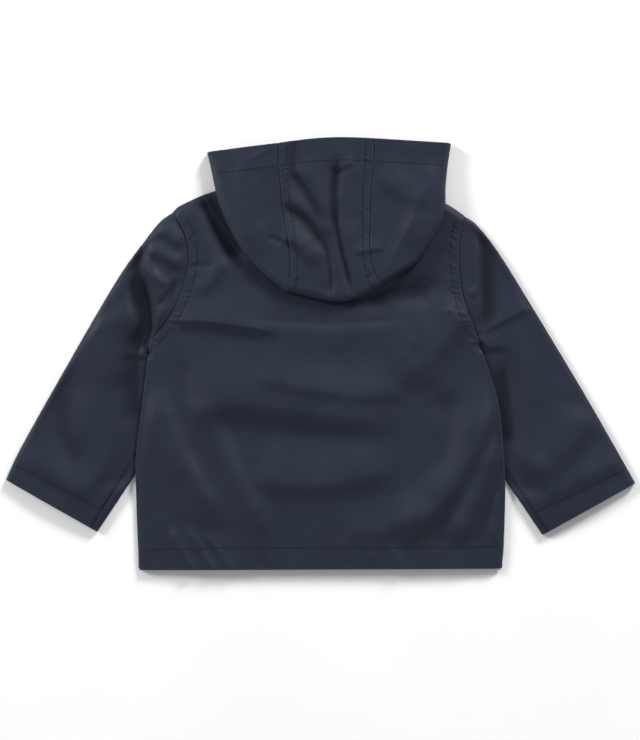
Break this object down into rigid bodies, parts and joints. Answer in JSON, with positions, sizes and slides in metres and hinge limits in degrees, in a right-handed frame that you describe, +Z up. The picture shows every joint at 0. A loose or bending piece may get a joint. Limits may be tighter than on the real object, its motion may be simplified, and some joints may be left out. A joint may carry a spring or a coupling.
{
  "type": "kids raincoat",
  "caption": "Child's hooded raincoat of navy coated cloth, laid flat face down, its hood turned down on the back and press studs down the front.",
  "frame": {"origin": "bottom centre of the coat's bounding box, on the surface that it lies on", "axes": "+X from the wearer's left cuff to the right one, +Y from the hem to the hood, +Z up off the surface, out of the coat's back"},
  "size_m": [0.6289, 0.4313, 0.0189],
  "materials": {
    "navy_coated_cloth": "satin navy polyurethane-coated cotton with a fine grain",
    "navy_stud": "navy lacquered metal cap"
  },
  "bodies": {
    "root": {"back": "navy_coated_cloth", "front_left": "navy_coated_cloth", "front_right": "navy_coated_cloth", "sleeve_left": "navy_coated_cloth", "sleeve_right": "navy_coated_cloth", "hood_center": "navy_coated_cloth", "hood_left": "navy_coated_cloth", "hood_right": "navy_coated_cloth", "stud_1": "navy_stud", "stud_2": "navy_stud", "stud_3": "navy_stud", "stud_4": "navy_stud", "stud_5": "navy_stud"}
  },
  "joints": []
}
